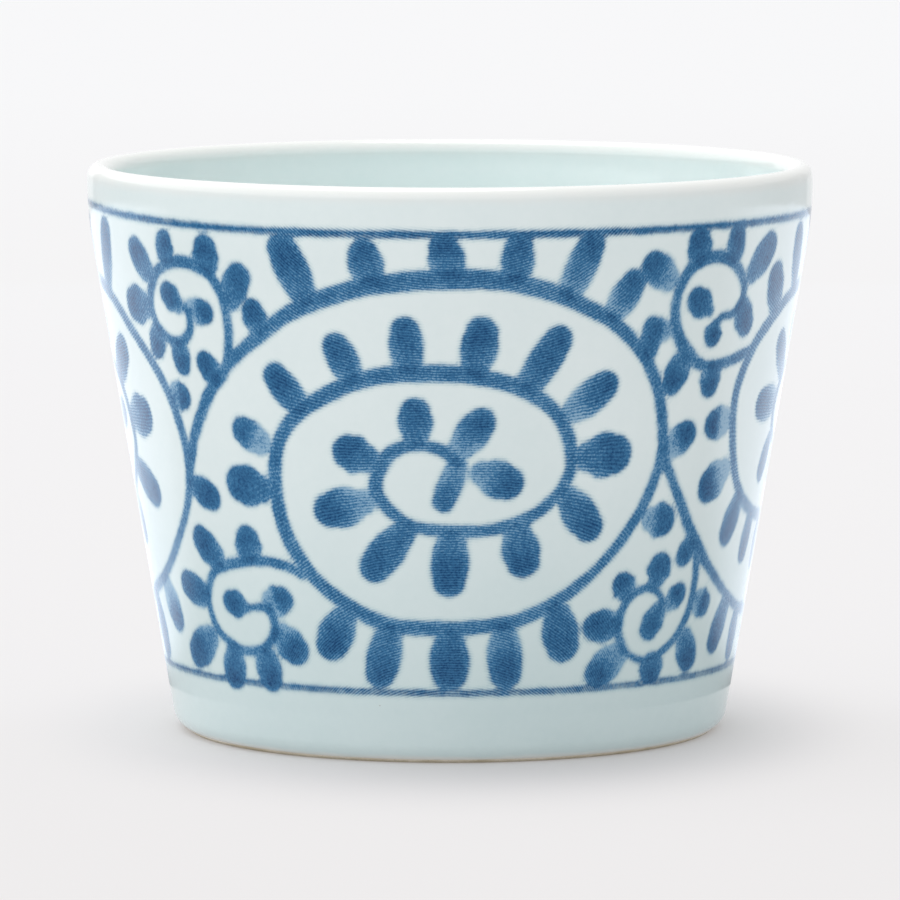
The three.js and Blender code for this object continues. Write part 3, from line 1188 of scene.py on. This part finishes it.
    def _clay(self) -> None:
        """The fired clay between the coats, with its bare foot ring."""
        part = self.section
        outer = part.outside(self.plain_step)
        ring = np.concatenate([
            [(part.well_radius, part.glaze_line), (part.foot_inner, 0.0)],
            line((part.foot_inner, 0.0), (part.foot_outer, 0.0), self.ring_step),
            [(part.foot_outer, 0.0), outer[0]],
        ])
        shell = [inset(part.well(self.plain_step), part.glaze), ring, inset(outer, part.glaze)]
        inner = inset(part.inside(self.plain_step), part.glaze)[1:]
        outline = np.concatenate([*shell, inner])
        outline[[0, -1], 0] = 0.0
        piece = TurnedMesh(outline, self.plain_columns).build("fired_clay_body")
        self._finish(piece, self.clay_finish.made(self.effects), "porcelain_body")


# ---------------- the studio


@dataclass(frozen=True)
class Card:
    """A sheet bent round the cup. Heights and radii are in metres, angles in degrees from the front."""

    name: str
    near: Place
    far: Place
    ends: Span
    paint: str
    paint_behind: str
    change: Span
    glow: float = 0.0
    steps: int = 96

    def mesh(self) -> bpy.types.Mesh:
        """Builds the sheet between its near and its far edge.

        Returns:
            The mesh, with its origin at the cup's.
        """
        turns = np.linspace(*self.ends, self.steps + 1) * DEGREE
        corners = [
            (radius * math.sin(turn), -radius * math.cos(turn), height)
            for radius, height in (self.near, self.far)
            for turn in turns
        ]
        row = self.steps + 1
        mesh = bpy.data.meshes.new(self.name)
        mesh.from_pydata(corners, [], [(k, k + 1, row + 1 + k, row + k) for k in range(self.steps)])
        return mesh


@dataclass
class Studio:
    """Pale floor with painted light on it, soft light all round and the camera.

    Lengths are in metres, but in millimetres for the floor's glow, sweep and drop and the card's fade.
    """

    floor_size: float = 16.0
    floor_drop: float = 0.02
    # Painted light on the floor: its paint grows paler far behind the cup, and away from the cup it glows
    # instead of taking light, so the cup's shadow fades out close to it.
    near_paint: str = "D7D5D5"
    far_paint: str = "DCDCDD"
    painted_light_sweep: Span = (-200.0, 1200.0)
    paint_mottle: float = 0.04
    paper_gloss: float = 0.9
    open_light: float = 1.27
    glow_start: float = 34.0
    glow_end: float = 72.0
    glow_least: float = 0.18
    glow_most: float = 0.8
    glow_stretch: float = 1.4
    sky: Colour = (0.985, 0.99, 1.0, 1.0)
    sky_strength: float = 0.95
    sky_tilt: float = 0.36
    window_place: tuple[float, float, float] = (-0.15, 0.2, 1.0)
    window_strength: float = 1.0
    window_spread: float = 42.0
    upright: Card = Card(
        "upright_card", (0.6, 0.001), (0.6, 0.2), (-153.0, 153.0), "8E8C8A", "D6D6D6", (0.45, 0.88)
    )
    lying: Card = Card(
        "lying_card", (0.038, 0.002), (0.6, 0.002), (-180.0, 180.0), "76777A", "EEF5FF", (-0.05, 0.4), 0.3
    )
    # Grey that the cards take near the cup: a painted reflection of the floor's shade there.
    shaded_floor_paint: str = "A9A9AA"
    inner_fade: Span = (38.0, 62.0)
    camera_distance: float = 0.870
    camera_height: float = 0.12429
    camera_dip: float = 6.09
    camera_lens: float = 308.2
    camera_sensor: float = 36.0

    def build(self) -> None:
        """Sets everything up round the cup."""
        self._floor()
        self._sky()
        self._window()
        self._card(self.upright)
        self._card(self.lying)
        self._camera()
        bpy.context.scene.view_settings.view_transform = "Standard"

    def _window(self) -> None:
        """A broad soft light from high on the left."""
        lamp = bpy.data.lights.new("window_light", "SUN")
        lamp.energy = self.window_strength
        lamp.angle = self.window_spread * DEGREE
        hung = hang("window_light", lamp)
        x, y, z = self.window_place
        hung.location = self.window_place
        hung.rotation_euler = (math.atan2(math.hypot(x, y), z), 0.0, math.atan2(x, -y))

    def _card(self, card: Card) -> None:
        """Puts up a card that only the glaze's reflections see, with a paint that changes behind the cup.

        Args:
            card: The card.
        """
        sheet = hang(card.name, card.mesh())
        sheet.visible_camera = sheet.visible_diffuse = sheet.visible_shadow = False
        paper = Paint(f"{card.name}_paper")
        wiring = paper.wiring
        place = wiring.millimetres()
        heading = wiring.place("VectorMath", {0: place}, operation="NORMALIZE").outputs[0]
        behind = wiring.spread(wiring.part(heading, 1), *card.change)
        clear = wiring.spread(wiring.length(place), *self.inner_fade)
        bright = shade(card.paint_behind)
        tint = wiring.blend(behind, shade(card.paint), bright)
        # Painted reflections: near the cup the card is grey, standing for the floor's shade, and behind the
        # cup the lying card glows.
        sheet.data.materials.append(paper.finish({
            "Base Color": wiring.blend(clear, shade(self.shaded_floor_paint), tint),
            "Emission Color": wiring.blend(wiring.sum("MULTIPLY", behind, clear), shade(BLACK), bright),
            "Emission Strength": card.glow,
            "Roughness": self.paper_gloss,
        }))

    def _floor(self) -> None:
        """The floor that the cup stands on, with painted light: paler far behind it, and glowing more away
        from the cup, which fades the cup's shadow.
        """
        half = self.floor_size / 2
        mesh = bpy.data.meshes.new("floor")
        corners = [(-half, -half, 0), (half, -half, 0), (half, half, 0), (-half, half, 0)]
        mesh.from_pydata(corners, [], [(0, 1, 2, 3)])
        floor = hang("floor", mesh)
        floor.location.z = -self.floor_drop * MM
        paper = Paint("floor_paper")
        wiring = paper.wiring
        place = wiring.millimetres()
        # Painted light: the paint grows paler far behind the cup.
        sweep = wiring.spread(wiring.part(place, 1), *self.painted_light_sweep, curve="LINEAR")
        mottle = wiring.sum("MULTIPLY_ADD", wiring.noise(place, 0.01), self.paint_mottle, sweep)
        paint = wiring.blend(mottle, shade(self.near_paint), shade(self.far_paint))
        # Painted light: away from the cup the floor trades its paint for a glow that matches its lit
        # brightness, which fades the cup's shadow.
        stretch = (self.glow_stretch, 1.0, 0.0)
        oval = wiring.place("VectorMath", {0: place, 1: stretch}, operation="MULTIPLY").outputs[0]
        ends = (self.glow_start, self.glow_end, self.glow_least, self.glow_most)
        glow = wiring.spread(wiring.length(oval), *ends)
        dark = shade(BLACK)
        mesh.materials.append(paper.finish({
            "Base Color": wiring.blend(glow, paint, dark),
            "Emission Color": wiring.blend(glow, dark, paint),
            "Emission Strength": self.open_light,
            "Roughness": self.paper_gloss,
            "Specular IOR Level": 0.1,
        }))

    def _sky(self) -> None:
        """Soft light from every side, a little stronger from the left."""
        world = bpy.data.worlds.new("soft_room")
        world.use_nodes = True
        wiring = Wiring(world.node_tree)
        toward = wiring.part(wiring.place("TexCoord", {}).outputs["Generated"], 0)
        strong, weak = (self.sky_strength * (1 + side * self.sky_tilt) for side in (1, -1))
        strength = wiring.spread(toward, -1, 1, strong, weak, "LINEAR")
        wiring.feed(world.node_tree.nodes["Background"], {"Color": self.sky, "Strength": strength})
        bpy.context.scene.world = world

    def _camera(self) -> None:
        """The camera, a little above the lip and looking slightly down."""
        lens = bpy.data.cameras.new("camera")
        lens.lens = self.camera_lens
        lens.sensor_width = self.camera_sensor
        camera = hang("camera", lens)
        camera.location = (0.0, -self.camera_distance, self.camera_height)
        camera.rotation_euler = ((90 - self.camera_dip) * DEGREE, 0.0, 0.0)
        bpy.context.scene.camera = camera


def main() -> None:
    """Builds the studio and the cup."""
    logging.basicConfig(level=logging.INFO, format="%(name)s: %(message)s")
    _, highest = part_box("outer_glaze")
    section = CupSection(rim_radius=highest[0] / MM, height=highest[2] / MM)
    Studio().build()
    Cup(section, KilnEffects()).build()


if __name__ == "__main__":
    main()
